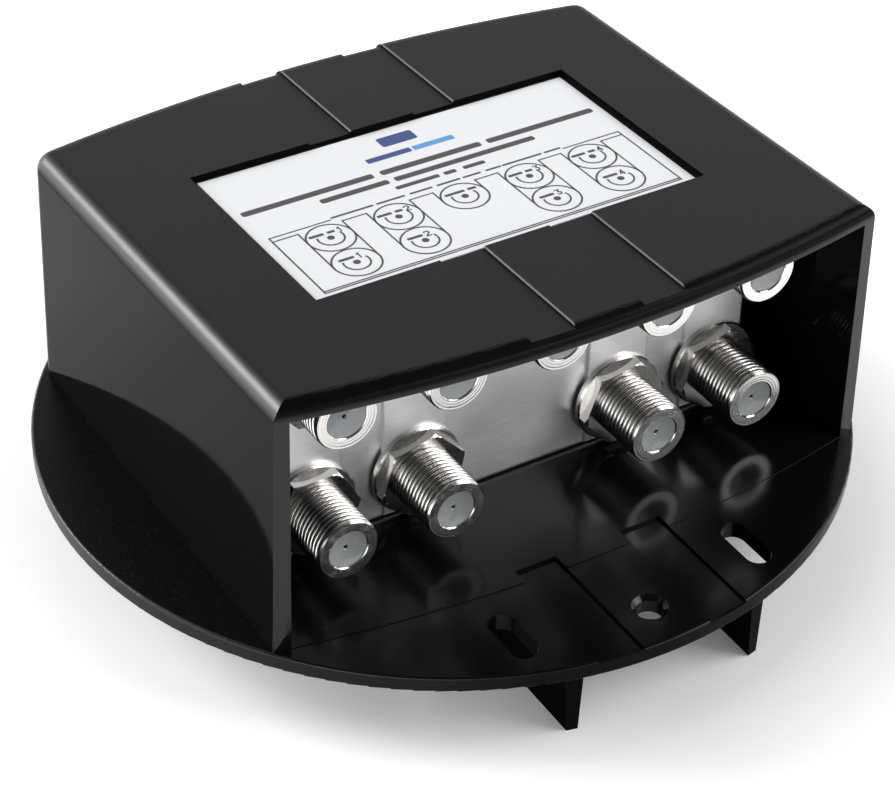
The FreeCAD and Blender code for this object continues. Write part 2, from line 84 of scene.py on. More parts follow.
# Zones of the studio room: a component of the direction, where the zone begins and where it is
# full, and its strength at both where that isn't nought and one
ROOM_COLOUR = (0.98, 0.99, 1.0, 1.0)
BEHIND = ("Y", -0.1, 0.5, 0.05, 0.78)
LOW = ("Z", 0.3, 0.0, 0.0, 0.5)
LEFT = ("X", 0.1, -0.5, 0.0, 0.95)
FRONT = ("Y", 0.3, -0.1)
NOT_HIGH = ("Z", 0.45, 0.20)
RIGHT = ("X", 0.50, 0.90, 0.0, 0.8)
STRIP_LEFT = ("X", -0.45, -0.65, 0.0, 2.5)
STRIP_LOW = ("Z", 0.16, 0.08)
OUT_OF_SHADE_Y = ("Y", -0.93, -0.84)
OUT_OF_SHADE_X = ("X", 0.0, 0.10)
HORIZON = ("Z", 0.12, 0.30, 1.0, 0.0)

# Name, azimuth, elevation, distance, width, height and power of each lamp, and where all point
LAMPS = (
    ("edge", -139.0, 27.0, 2.2, 1.0, 0.7, 34.0),
    ("right", 62.0, 31.0, 2.2, 1.75, 0.95, 38.0),
    ("front", 24.0, 9.0, 2.2, 1.2, 0.5, 13.0),
)
LAMP_AIM = Vector((0.0, 0.0, 0.02))

# Rim of the round plate, in millimetres
PLATE_TOP = 11.9
PLATE_UNDER = 9.3
RIM_ROUND = 0.4
# Where the rim's zone fades in, from the middle outward and from the ribs' height upward
RIM_FADE = 0.04
RIM_BELOW = (PLATE_UNDER - 0.2, PLATE_UNDER - 0.05)

# Zones of the housing, each faded in between two values of one component. The first group reads
# the normal, the second the place in metres, and the last the distance from the middle plane.
FACES_UP = ("Z", 0.80, 0.92)
TURNS_UP = ("Z", 0.10, 0.25)
FACES_FRONT = ("Y", -0.08, -0.3)
LEANS_ASIDE = (0.25, 0.45)
FACES_ASIDE = (0.86, 0.98)
ABOVE_PLATE = ("Z", 0.030, 0.032)
LOW_AS_PLATE = ("Z", 0.013, 0.012)
LOW_AS_STEPS = ("Z", 0.018, 0.016)
BROW_HEIGHT = ("Z", 0.0494, 0.0505)
ABOVE_UNDERSIDE = ("Z", 0.0090, 0.0094)
RIM_RIGHTWARD = ("X", -0.055, -0.020)
BESIDE_HOOD = (0.0480, 0.0486)
INSIDE_HOOD = (0.0470, 0.0464)
OVER_BANDS = (0.0440, 0.0400)

# Finish of each zone. A share scales the gloss of the zone it names.
HOUSING_IOR = 1.46
ROUGH_ROOF = 0.44
ROUGH_PLATE = 0.3
ROUGH_FLOOR = 0.16
ROUGH_WALL = 0.06
ROUGH_SIDE_ROUND = 0.38
ROUGH_BROW_MORE = 0.2
GLOSS_FLAT = 0.31
GLOSS_SIDE_ROUND = 0.78
SHARE_WALL = 0.078
SHARE_PLATE = 0.35
SHARE_FLOOR = 0.64
SHARE_ROOF = 0.78
SHARE_BROW = 0.1
SHARE_BAND_STEP = 0.42
SHARE_UNDERSIDE = 0.08
GLOSS_RIM_LEFT = 0.82
GLOSS_RIM_RIGHT = 0.19
SHARE_RIM_SIDE = 0.24
SHARE_RIM_TOP = 0.75
RIM_RISE = (0.02, 0.25)
BLACK_DARK = (0.003, 0.003, 0.0032)
BLACK_LIGHT = (0.0045, 0.0045, 0.0048)
GLINT_COLOUR = (0.05, 0.05, 0.05, 1.0)
CLOUDS_PER_METRE = 160.0
GLINTS_PER_METRE = 3400.0
GRAINS_PER_METRE = 5200.0
# Values of the noise over which glints and higher grains begin
GLINT_RANGE = (0.70, 0.76)
HIGH_GRAIN_RANGE = (0.62, 0.75)
GRAIN_STRENGTH = 0.55
GRAIN_DEPTH = 0.00006

# Brushed case: strokes in a metre along X, Y and Z, and their depth in metres
CASE_STROKES = (200.0, 5000.0, 5000.0)
CASE_STROKE_DEPTH = 0.00006
CASE_DARK = (0.50, 0.51, 0.51)
CASE_LIGHT = (0.92, 0.93, 0.93)
CASE_ROUGH = (0.36, 0.42)
CASE_ANISOTROPY = 0.38

# Nickel: how much darker handling makes it, and the colour of the painted shade at the bottom of
# a thread
HANDLED_SHARE = 0.86
ROOT_PAINTED_SHADE = (0.10, 0.094, 0.088)

# Milky plastic; the light's reach in it is in metres
MILKY_DARK = (0.21, 0.225, 0.225)
MILKY_LIGHT = (0.28, 0.295, 0.295)
MILKY_ROUGH = (0.07, 0.12)
MILKY_SHARE = 0.05
MILKY_REACH = (0.002, 0.0021, 0.0021)

# Sizes that the details add to the solids, in millimetres
THREAD_PITCH = 0.794
THREAD_DEPTH = 0.44
# Half the swing of the thread's wave in depths; above a half it leaves flats at crest and root
THREAD_SWING = 0.62
CASE_EDGE = 0.12

# Sizes of the connector shells, which repeat the solids', in millimetres
BARREL_REACH = 11.1
WASHER_THICKNESS = 0.8
HEX_THICKNESS = 1.7
HEX_ACROSS_FLATS = 12.0
HEX_CORNER_BEVEL = 0.45
HEX_BEVEL_SLOPE = 0.6
NECK_RADIUS = 4.25
BARREL_RADIUS = 4.7
END_CHAMFER = 0.25
TAIL_RADIUS = 4.0
BORE_RADIUS = 2.95
BORE_BEVEL = 0.12
# Turn of each hexagon in degrees
HEX_TURNS = {
    "sat_input_1": 10.0, "sat_input_2": 4.0, "terrestrial_input": 20.0,
    "sat_input_3": 26.0, "sat_input_4": 9.0,
    "output_1": 0.0, "output_2": 14.0, "output_3": 9.0, "output_4": 17.0,
}
# Points in a ring and rings in a turn of the thread
RING_COLUMNS = 72
THREAD_STEPS = 12
# Mesh attribute that is one where shade is painted at the bottom of the thread
ROOT_SHADE_MARK = "root"
# Plain collar between the thread and the end face, in millimetres
COLLAR_RADIUS = 4.66
COLLAR_LENGTH = 0.36
COLLAR_GROOVE = 0.1
COLLAR_FOOT = 0.04
COLLAR_BREAK = 0.06
BORE_DEPTH = 2.0
# Share of the thread's depth, measured from the root, over which the painted shade fades out
ROOT_SHADE_FADE = 1 / 1.5
# Radius and depth of the turning marks on the end face
FACE_GROOVES = (
    (4.3, 0.0), (4.22, 0.014), (4.12, 0.0), (3.75, 0.0), (3.68, 0.01), (3.6, 0.0),
    (3.35, 0.0), (3.29, 0.012), (3.2, 0.0),
)

# Print on the label, in millimetres
PRINT_SINK = 0.005
PRINT_HEIGHT = 0.02
# Slope of the label's face, which falls towards the back
LABEL_FALL = 0.0235
# Left, right, back and front line of the case's outline, and the gap in its back line
LABEL_FRAME = (-28.8, 28.75, -1.0, -16.9)
FRAME_LINE = 0.25
FRAME_GAP = (-19.3, 19.2)
FRAME_DOUBLE = 0.42
SHELF_DROP = 1.0
LABEL_COLUMNS = (-21.4, -10.65, 0.08, 10.8, 21.54)
UPPER_PORT_Y = -5.05
LOWER_PORT_Y = -12.25
PORT_RING = 3.46
PORT_ARC = 1.9
ARC_ANGLES = (157.0, 383.0)
PORT_DOT = 0.54
PORT_LINE = 0.28
NUMBER_RISE = 1.35
# Rows of bars: middle, height and each bar's two ends
WORD_BARS = (
    (6.4, 1.25, ((-29.2, -8.2), (-7.0, 9.7), (10.8, 29.1))),
    (3.9, 1.15, ((-18.1, -7.1), (-6.1, 17.3))),
    (1.7, 0.85, ((-7.2, -0.1), (0.7, 2.7), (3.9, 7.5))),
    (-0.6, 0.4, ((-19.0, -12.2), (-11.7, -7.1), (-6.3, -2.6), (-1.9, 2.0), (2.4, 5.4),
                 (6.2, 8.8), (9.0, 15.7), (16.1, 18.9))),
)
# Bars in a port's ring: the middle port's, an upper port's, a lower port's
PORT_WORDS = (
    ((-2.5, 0.7), (1.2, 2.6)),
    ((-2.7, -0.4), (0.1, 1.3)),
    ((-2.1, 0.3),),
)
PORT_WORD_HEIGHT = 0.55
NUMBER_WIDTH = 0.65
NUMBER_HEIGHT = 1.15
NUMBER_GAP = 0.45
NUMBER_LINE = 0.22
# Corner radius of a bar and of a field, as a share of its height
BAR_ROUND = 0.3
FIELD_ROUND = 0.15
# Left and right end, middle and height of the plain fields
DARK_FIELDS = ((-2.9, 2.9, 13.9, 2.6), (-7.1, 0.2, 10.2, 1.2))
LIGHT_FIELDS = ((0.6, 7.4, 10.2, 1.2),)

# Strokes of the numerals 1 to 4, on a grid one wide and two high
NUMERALS = {
    1: (((0.2, 1.6), (0.55, 2.0), (0.55, 0.0)),),
    2: (((0.0, 1.7), (0.2, 2.0), (0.8, 2.0), (1.0, 1.65), (1.0, 1.3), (0.0, 0.0), (1.0, 0.0)),),
    3: (((0.0, 2.0), (0.9, 2.0), (0.45, 1.2), (0.85, 1.0), (1.0, 0.6), (0.8, 0.1), (0.2, 0.0),
         (0.0, 0.2)),),
    4: (((0.75, 0.0), (0.75, 2.0), (0.0, 0.6), (1.0, 0.6)),),
}

INPUTS = ("sat_input_1", "sat_input_2", "terrestrial_input", "sat_input_3", "sat_input_4")
OUTPUTS = ("output_1", "output_2", "output_3", "output_4")
PORTS = INPUTS + OUTPUTS


# Node graphs

def new_material(name):
    material = bpy.data.materials.new(name)
    material.use_nodes = True
    tree = material.node_tree
    return material, tree, tree.nodes["Principled BSDF"]


def add(tree, kind, **values):
    """A node with its properties and, by socket name or number, its input values."""
    node = tree.nodes.new(kind)
    for key, value in values.items():
        if key == "inputs":
            for socket, amount in value.items():
                node.inputs[socket].default_value = amount
        else:
            setattr(node, key, value)
    return node


def join(tree, out_node, out_socket, in_node, in_socket):
    tree.links.new(out_node.outputs[out_socket], in_node.inputs[in_socket])


def object_place(tree, scale=(1.0, 1.0, 1.0)):
    """Object coordinates, which are the row frame's metres, stretched by a scale."""
    place = add(tree, "ShaderNodeTexCoord")
    mapping = add(tree, "ShaderNodeMapping", inputs={"Scale": scale})
    join(tree, place, "Object", mapping, "Vector")
    return mapping


def noise(tree, per_metre, detail=3.0, roughness=0.55, stretch=(1.0, 1.0, 1.0)):
    texture = add(tree, "ShaderNodeTexNoise", inputs={
        "Scale": per_metre, "Detail": detail, "Roughness": roughness})
    join(tree, object_place(tree, stretch), "Vector", texture, "Vector")
    return texture


def spread(tree, source, socket, low, high, to_low=0.0, to_high=1.0):
    """Maps a range of a value to another range and holds it there."""
    node = add(tree, "ShaderNodeMapRange", inputs={
        "From Min": low, "From Max": high, "To Min": to_low, "To Max": to_high})
    join(tree, source, socket, node, "Value")
    return node


def math_node(tree, operation, first, second):
    """Math node whose operands are numbers or (node, socket) pairs."""
    node = add(tree, "ShaderNodeMath", operation=operation)
    for index, operand in enumerate((first, second)):
        if isinstance(operand, (int, float)):
            node.inputs[index].default_value = operand
        else:
            join(tree, operand[0], operand[1], node, index)
    return node


def both(first, second):
    """Product of two nodes' first outputs."""
    return math_node(first.id_data, "MULTIPLY", (first, 0), (second, 0))


def bump(tree, shader, height, socket, strength, distance, edge_mm=0.0):
    """Relief from a height, over edges that catch light as if rounded by a small radius."""
    node = add(tree, "ShaderNodeBump", inputs={"Strength": strength, "Distance": distance})
    join(tree, height, socket, node, "Height")
    join(tree, node, "Normal", shader, "Normal")
    if edge_mm:
        soft = add(tree, "ShaderNodeBevel", samples=6, inputs={"Radius": edge_mm * MM})
        join(tree, soft, "Normal", node, "Normal")
    return node


def mix_colour(tree, factor, socket, first, second):
    node = add(tree, "ShaderNodeMix", data_type="RGBA")
    join(tree, factor, socket, node, 0)
    node.inputs[6].default_value = (*first, 1.0)
    node.inputs[7].default_value = (*second, 1.0)
    return node


# Materials

def rim_normal(tree, geometry, place):
    """Normal that is exact on the plate's rounded rim, the zone of the rim, and the rim's rise.

    Elsewhere the normal is the mesh's own. The rise is nought on the side and one at the top.
    """
    rim = cad_high[0]
    flat = add(tree, "ShaderNodeCombineXYZ")
    join(tree, place, "X", flat, "X")
    join(tree, place, "Y", flat, "Y")
    reach = add(tree, "ShaderNodeVectorMath", operation="LENGTH")
    join(tree, flat, 0, reach, 0)
    away = add(tree, "ShaderNodeVectorMath", operation="NORMALIZE")
    join(tree, flat, 0, away, 0)
    outward = spread(tree, reach, "Value", rim - RIM_ROUND * MM, rim)
    rise = spread(tree, place, "Z", (PLATE_TOP - RIM_ROUND) * MM, PLATE_TOP * MM)
    fall = spread(tree, place, "Z", (PLATE_UNDER + RIM_ROUND) * MM, PLATE_UNDER * MM)
    upward = math_node(tree, "SUBTRACT", (rise, 0), (fall, 0))
    lift = add(tree, "ShaderNodeCombineXYZ")
    join(tree, upward, 0, lift, "Z")
    level = add(tree, "ShaderNodeVectorMath", operation="SCALE")
    join(tree, away, 0, level, 0)
    join(tree, outward, 0, level, "Scale")
    total = add(tree, "ShaderNodeVectorMath", operation="ADD")
    join(tree, level, 0, total, 0)
    join(tree, lift, 0, total, 1)
    exact = add(tree, "ShaderNodeVectorMath", operation="NORMALIZE")
    join(tree, total, 0, exact, 0)
    inner = rim - RIM_ROUND * MM
    at_edge = spread(tree, reach, "Value", inner - RIM_FADE * MM, inner)
    at_height = spread(tree, place, "Z", RIM_BELOW[0] * MM, RIM_BELOW[1] * MM)
    on_rim = both(at_edge, at_height)
    normal = add(tree, "ShaderNodeMix", data_type="VECTOR")
    join(tree, on_rim, 0, normal, 0)
    join(tree, geometry, "Normal", normal, 4)
    join(tree, exact, 0, normal, 5)
    return normal, on_rim, rise


def housing_material():
    """Black moulded plastic, grained on the roof and outer plate and polished elsewhere."""
    material, tree, shader = new_material("housing_plastic")
    shader.inputs["IOR"].default_value = HOUSING_IOR

    geometry = add(tree, "ShaderNodeNewGeometry")
    normal = add(tree, "ShaderNodeSeparateXYZ")
    join(tree, geometry, "True Normal", normal, "Vector")
    place = add(tree, "ShaderNodeSeparateXYZ")
    join(tree, object_place(tree), "Vector", place, "Vector")
    round_normal, on_rim, rim_rise = rim_normal(tree, geometry, place)

    def ramp(zone, outside, inside):
        """A value outside a zone and another inside it."""
        return spread(tree, zone, 0, 0.0, 1.0, outside, inside)

    def choose(zone, outside, inside):
        """As ramp, for values that are numbers or nodes."""
        node = add(tree, "ShaderNodeMix", data_type="FLOAT")
        join(tree, zone, 0, node, 0)
        for socket, value in ((2, outside), (3, inside)):
            if isinstance(value, float):
                node.inputs[socket].default_value = value
            else:
                join(tree, value, 0, node, socket)
        return node

    # Zones
    aside = math_node(tree, "ABSOLUTE", (normal, "X"), 0.0)
    from_middle = math_node(tree, "ABSOLUTE", (place, "X"), 0.0)
    above_plate = spread(tree, place, *ABOVE_PLATE)
    roof = both(spread(tree, normal, *FACES_UP), above_plate)
    outer_plate = both(spread(tree, from_middle, 0, *BESIDE_HOOD),
                       spread(tree, place, *LOW_AS_PLATE))
    grained = math_node(tree, "MAXIMUM", (roof, 0), (outer_plate, 0))
    inner_floor = both(spread(tree, from_middle, 0, *INSIDE_HOOD),
                       spread(tree, place, *LOW_AS_STEPS))
    side_round = both(spread(tree, aside, 0, *LEANS_ASIDE), spread(tree, normal, *TURNS_UP))
    brow = both(spread(tree, normal, *FACES_FRONT), above_plate)
    brow_round = both(brow, spread(tree, place, *BROW_HEIGHT))
    band_step = both(both(side_round, spread(tree, from_middle, 0, *OVER_BANDS)), above_plate)

    # Roughness
    rough_wall = math_node(tree, "ADD", (ramp(side_round, ROUGH_WALL, ROUGH_SIDE_ROUND), 0),
                           (ramp(brow, 0.0, ROUGH_BROW_MORE), 0))
    rough_polished = choose(inner_floor, rough_wall, ROUGH_FLOOR)
    rough = choose(grained, rough_polished, choose(roof, ROUGH_PLATE, ROUGH_ROOF))
    join(tree, rough, 0, shader, "Roughness")

    # Gloss
    gloss = ramp(side_round, GLOSS_FLAT, GLOSS_SIDE_ROUND)
    for share in (
            spread(tree, aside, 0, *FACES_ASIDE, 1.0, SHARE_WALL),
            ramp(outer_plate, 1.0, SHARE_PLATE),
            ramp(inner_floor, 1.0, SHARE_FLOOR),
            ramp(roof, 1.0, SHARE_ROOF),
            ramp(brow_round, 1.0, SHARE_BROW),
            spread(tree, place, *ABOVE_UNDERSIDE, SHARE_UNDERSIDE, 1.0),
            ramp(band_step, 1.0, SHARE_BAND_STEP)):
        gloss = both(gloss, share)
    gloss_rim = both(spread(tree, place, *RIM_RIGHTWARD, GLOSS_RIM_LEFT, GLOSS_RIM_RIGHT),
                     spread(tree, rim_rise, 0, *RIM_RISE, SHARE_RIM_SIDE, SHARE_RIM_TOP))
    join(tree, choose(on_rim, gloss, gloss_rim), 0, shader, "Specular IOR Level")

    # Colour, with a few painted glints on the outer plate
    cloud = noise(tree, CLOUDS_PER_METRE, 3.0, 0.5)
    colour = mix_colour(tree, cloud, "Fac", BLACK_DARK, BLACK_LIGHT)
    sparkle = noise(tree, GLINTS_PER_METRE, 1.0, 0.5)
    glint = both(spread(tree, sparkle, "Fac", *GLINT_RANGE), outer_plate)
    speckled = add(tree, "ShaderNodeMix", data_type="RGBA", inputs={7: GLINT_COLOUR})
    join(tree, glint, 0, speckled, 0)
    join(tree, colour, 2, speckled, 6)
    join(tree, speckled, 2, shader, "Base Color")

    # Grain, higher in places on the outer plate
    grain = noise(tree, GRAINS_PER_METRE, 2.0, 0.6)
    high_grain = both(spread(tree, grain, "Fac", *HIGH_GRAIN_RANGE), outer_plate)
    fine = math_node(tree, "MULTIPLY", (grain, "Fac"), (grained, 0))
    height = math_node(tree, "ADD", (fine, 0), (high_grain, 0))
    relief = bump(tree, shader, height, 0, GRAIN_STRENGTH, GRAIN_DEPTH)
    join(tree, round_normal, 1, relief, "Normal")
    return material


def case_material():
    """Nickel plated case, brushed along X."""
    material, tree, shader = new_material("case_metal")
    shader.inputs["Metallic"].default_value = 1.0
    strokes = noise(tree, 1.0, 5.0, 0.7, CASE_STROKES)
    cloud = noise(tree, 90.0, 2.0, 0.5)
    colour = mix_colour(tree, strokes, "Fac", CASE_DARK, CASE_LIGHT)
    join(tree, colour, 2, shader, "Base Color")
    rough = spread(tree, cloud, "Fac", 0.3, 0.7, *CASE_ROUGH)
    join(tree, rough, 0, shader, "Roughness")
    shader.inputs["Anisotropic"].default_value = CASE_ANISOTROPY
    across = add(tree, "ShaderNodeCombineXYZ", inputs={"Z": 1.0})
    join(tree, across, 0, shader, "Tangent")
    bump(tree, shader, strokes, "Fac", 0.5, CASE_STROKE_DEPTH, CASE_EDGE)
    return material


def nickel_material(name, low_rough, high_rough, tint, shade_roots=False):
    """Bright nickel plating with slight handling marks, with shade painted at the bottom of a
    thread's groove.
    """
    material, tree, shader = new_material(name)
    shader.inputs["Metallic"].default_value = 1.0
    cloud = noise(tree, 700.0, 4.0, 0.6)
    dark = tuple(HANDLED_SHARE * value for value in tint)
    colour = mix_colour(tree, cloud, "Fac", dark, tint)
    if shade_roots:
        # Painted shade: where the attribute is one, the colour goes to the dark shade colour
        depth = add(tree, "ShaderNodeAttribute", attribute_name=ROOT_SHADE_MARK)
        root_shaded = add(tree, "ShaderNodeMix", data_type="RGBA", inputs={7: (*ROOT_PAINTED_SHADE, 1.0)})
        join(tree, depth, "Fac", root_shaded, 0)
        join(tree, colour, 2, root_shaded, 6)
        join(tree, root_shaded, 2, shader, "Base Color")
    else:
        join(tree, colour, 2, shader, "Base Color")
    rough = spread(tree, cloud, "Fac", 0.35, 0.65, low_rough, high_rough)
    join(tree, rough, 0, shader, "Roughness")
    fine = noise(tree, 9000.0, 2.0, 0.5)
    bump(tree, shader, fine, "Fac", 0.05, 0.00001)
    return material


def insulator_material():
    """Milky plastic that lets some light through."""
    material, tree, shader = new_material("insulator_plastic")
    cloud = noise(tree, 900.0, 3.0, 0.5)
    colour = mix_colour(tree, cloud, "Fac", MILKY_DARK, MILKY_LIGHT)
    join(tree, colour, 2, shader, "Base Color")
    rough = spread(tree, cloud, "Fac", 0.3, 0.7, *MILKY_ROUGH)
    join(tree, rough, 0, shader, "Roughness")
    shader.inputs["Subsurface Weight"].default_value = MILKY_SHARE
    shader.inputs["Subsurface Radius"].default_value = MILKY_REACH
    shader.inputs["Subsurface Scale"].default_value = 1.0
    return material


def plain_finish(name, dark, light, rough_low, rough_high, metallic=0.0, per_metre=400.0):
    """Finish with a slight mottle, for the pieces inside the case and the small ones."""
    material, tree, shader = new_material(name)
    shader.inputs["Metallic"].default_value = metallic
    cloud = noise(tree, per_metre, 3.0, 0.55)
    colour = mix_colour(tree, cloud, "Fac", dark, light)
    join(tree, colour, 2, shader, "Base Color")
    rough = spread(tree, cloud, "Fac", 0.3, 0.7, rough_low, rough_high)
    join(tree, rough, 0, shader, "Roughness")
    fine = noise(tree, 6.0 * per_metre, 2.0, 0.5)
    bump(tree, shader, fine, "Fac", 0.1, 0.00003)
    return material


def board_material():
    """Green board with lighter copper runs under the resist."""
    material, tree, shader = new_material("board_laminate")
    bricks = add(tree, "ShaderNodeTexBrick", inputs={
        "Scale": 110.0, "Mortar Size": 0.06, "Color1": (0.012, 0.10, 0.035, 1.0),
        "Color2": (0.015, 0.12, 0.045, 1.0), "Mortar": (0.05, 0.24, 0.10, 1.0)})
    turned = object_place(tree)
    turned.inputs["Rotation"].default_value = (math.radians(90), 0.0, 0.0)
    join(tree, turned, "Vector", bricks, "Vector")
    join(tree, bricks, "Color", shader, "Base Color")
    rough = spread(tree, bricks, "Fac", 0.0, 1.0, 0.28, 0.40)
    join(tree, rough, 0, shader, "Roughness")
    return material


# Pieces

def set_material(piece, material):
    """Gives a piece one material in place of those it came with."""
    if not piece.material_slots:
        piece.data.materials.append(material)
    for slot in piece.material_slots:
        slot.material = material


materials = {
    "housing_plastic": housing_material(),
    "case_metal": case_material(),
    "connector_nickel": nickel_material(
        "connector_nickel", 0.14, 0.2, (0.80, 0.785, 0.76), shade_roots=True),
    "connector_face": nickel_material("connector_face", 0.2, 0.28, (0.82, 0.81, 0.78)),
    "washer_nickel": nickel_material("washer_nickel", 0.2, 0.26, (0.78, 0.76, 0.73)),
    "insulator_plastic": insulator_material(),
    "board_laminate": board_material(),
}
# Two colours, two roughnesses, one for a metal, and the mottle's scale where it is coarser
for name, finish in {
    "label_film": ((0.80, 0.81, 0.82), (0.84, 0.85, 0.86), 0.35, 0.45),
    "contact_bronze": ((0.55, 0.38, 0.16), (0.7, 0.5, 0.24), 0.2, 0.3, 1.0),
    "chip_ceramic": ((0.33, 0.23, 0.15), (0.45, 0.33, 0.22), 0.5, 0.6),
    "coil_copper": ((0.6, 0.26, 0.12), (0.75, 0.36, 0.18), 0.2, 0.3, 1.0),
    "ferrite": ((0.045, 0.045, 0.05), (0.07, 0.07, 0.075), 0.55, 0.65),
    "tinplate": ((0.52, 0.52, 0.52), (0.64, 0.64, 0.64), 0.22, 0.34, 1.0, 150.0),
    "screw_steel": ((0.5, 0.5, 0.49), (0.64, 0.64, 0.62), 0.25, 0.35, 1.0),
    "ink_black": ((0.045, 0.045, 0.05), (0.07, 0.07, 0.075), 0.4, 0.5),
    "ink_dark_blue": ((0.03, 0.06, 0.2), (0.04, 0.08, 0.26), 0.4, 0.5),
    "ink_light_blue": ((0.08, 0.3, 0.6), (0.1, 0.36, 0.68), 0.4, 0.5),
}.items():
    materials[name] = plain_finish(name, *finish)
for part in frame["record"]["subparts"]:
    set_material(nodes[part["node"]], materials[part["material_slot"]])


# Connector shells with a cut thread

def ring_grid(name, skin, columns, sharp_rows, sharp_corners, material):
    """Closed skin of rings that run round Y; each ring gives a (radius, y) for every column.

    The rows named are sharp all round. The corners are a first row, a last row and a count of
    columns: between those rows every such column is sharp.
    """
    bm = bmesh.new()
    x0, z0 = skin["centre"]
    rings = []
    for row in skin["rings"]:
        ring = []
        for column, (radius, y) in enumerate(row):
            angle = skin["turn"] + 2 * math.pi * column / columns
            place = (x0 + radius * math.cos(angle), y, z0 + radius * math.sin(angle))
            ring.append(bm.verts.new(Vector(place) * MM))
        rings.append(ring)
    count = len(rings)
    for index in range(count):
        near = rings[index]
        far = rings[(index + 1) % count]
        for column in range(columns):
            after = (column + 1) % columns
            bm.faces.new((near[column], near[after], far[after], far[column]))
    bm.normal_update()
    for index in sharp_rows:
        ring = rings[index]
        for column in range(columns):
            edge = bm.edges.get((ring[column], ring[(column + 1) % columns]))
            edge.smooth = False
    first, last, every = sharp_corners
    for index in range(first, last):
        for column in range(0, columns, every):
            edge = bm.edges.get((rings[index][column], rings[index + 1][column]))
            edge.smooth = False
    bmesh.ops.recalc_face_normals(bm, faces=bm.faces[:])
    mesh = bpy.data.meshes.new(name)
    bm.to_mesh(mesh)
    bm.free()
    for face in mesh.polygons:
        face.use_smooth = True
    piece = bpy.data.objects.new(name, mesh)
    scene.collection.objects.link(piece)
    mesh.materials.append(material)
    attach(piece, "root")
    return piece


def thread_radius(y, angle, root, crest):
    """Rounded thread of one start, flat at crest and root; it climbs one pitch in a turn."""
    phase = (y / THREAD_PITCH + angle / (2 * math.pi)) % 1.0
    wave = 0.5 + THREAD_SWING * math.cos(2 * math.pi * phase)
    return root + (crest - root) * min(1.0, max(0.0, wave))


def connector_piece(port, face_material):
    """Shell with the solid's hexagon, neck, bore and tail, a cut thread and a ringed end face."""
    low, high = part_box(port + "_connector")
    tip = low[1] / MM
    back = high[1] / MM
    # The middle of the insulator's box lies on the connector's axis
    low_insulator, high_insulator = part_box(port + "_insulator")
    centre_x = (low_insulator[0] + high_insulator[0]) / 2 / MM
    centre_z = (low_insulator[2] + high_insulator[2]) / 2 / MM
    seat = tip + BARREL_REACH - WASHER_THICKNESS
    hex_front = seat - HEX_THICKNESS
    turn = math.radians(HEX_TURNS[port])
    corner = HEX_ACROSS_FLATS / 2 / math.cos(math.pi / 6)
    columns = RING_COLUMNS

    def even(radius, y):
        return [(radius, y)] * columns

    nut = []
    bevelled = []
    face_edge = []
    for column in range(columns):
        share = (2 * math.pi * column / columns) % (math.pi / 3)
        radius = HEX_ACROSS_FLATS / 2 / math.cos(share - math.pi / 6)
        depth = max(0.0, (radius - corner + HEX_CORNER_BEVEL) * HEX_BEVEL_SLOPE)
        nut.append((radius, seat))
        bevelled.append((radius, hex_front + depth))
        face_edge.append((min(radius, corner - HEX_CORNER_BEVEL), hex_front))
    rings = [
        even(BORE_RADIUS, back),
        even(TAIL_RADIUS, back),
        even(TAIL_RADIUS, seat),
        nut,
        bevelled,
        face_edge,
        even(NECK_RADIUS, hex_front),
    ]
    # Rows of the hexagon's sides, from its back edge to the edge of its face, and its corners
    nut_corners = (rings.index(nut), rings.index(face_edge), columns // 6)
    # Painted shade at each point: one at the bottom of the thread, fading to nought up its flanks
    root_shades = [[0.0] * columns for ring in rings]
    collar = tip + COLLAR_LENGTH
    thread_end = collar + COLLAR_GROOVE
    sharp = list(range(len(rings)))
    root_radius = BARREL_RADIUS - THREAD_DEPTH
    steps = round((hex_front - thread_end) / THREAD_PITCH * THREAD_STEPS)
    for step in range(1, steps + 1):
        y = hex_front + (thread_end - hex_front) * step / steps
        ring = []
        depths = []
        for column in range(columns):
            angle = 2 * math.pi * column / columns
            radius = thread_radius(y, angle, root_radius, BARREL_RADIUS)
            ring.append((radius, y))
            depths.append(max(0.0, 1.0 - (radius - root_radius) / (ROOT_SHADE_FADE * THREAD_DEPTH)))
        rings.append(ring)
        root_shades.append(depths)
    rings.append(even(root_radius, collar + COLLAR_FOOT))
    root_shades.append([1.0] * columns)
    rings.append(even(COLLAR_RADIUS, collar))
    sharp.append(len(rings) - 1)
    collar_front = tip + BARREL_RADIUS - COLLAR_RADIUS + END_CHAMFER - COLLAR_BREAK
    rings.append(even(COLLAR_RADIUS, collar_front))
    sharp.append(len(rings) - 1)
    rings.append(even(BARREL_RADIUS - END_CHAMFER, tip))
    first_face = len(rings)
    sharp.append(first_face - 1)
    for radius, depth in FACE_GROOVES:
        rings.append(even(radius, tip + depth))
    rings.append(even(BORE_RADIUS + BORE_BEVEL, tip))
    sharp.append(len(rings) - 1)
    rings.append(even(BORE_RADIUS, tip + BORE_BEVEL))
    sharp.append(len(rings) - 1)
    rings.append(even(BORE_RADIUS, tip + BORE_DEPTH))
    root_shades += [[0.0] * columns for ring in rings[len(root_shades):]]
    skin = {"centre": (centre_x, centre_z), "turn": turn, "rings": rings}
    piece = ring_grid(port + "_thread", skin, columns, sharp, nut_corners,
                      materials["connector_nickel"])
    piece.data.materials.append(face_material)
    # The painted shade is stored on the mesh for the nickel material to read
    mark = piece.data.attributes.new(ROOT_SHADE_MARK, "FLOAT", "POINT")
    mark.data.foreach_set("value", [depth for ring in root_shades for depth in ring])
    last_face = first_face + len(FACE_GROOVES)
    # The faces of ring_grid lie in rows, one row of columns from each ring to the next
    for face in piece.data.polygons:
        row = face.index // columns
        if first_face - 1 <= row < last_face:
            face.material_index = 1
    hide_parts(port + "_connector")


# Print on the label: lines, circles, bars and plain numbers

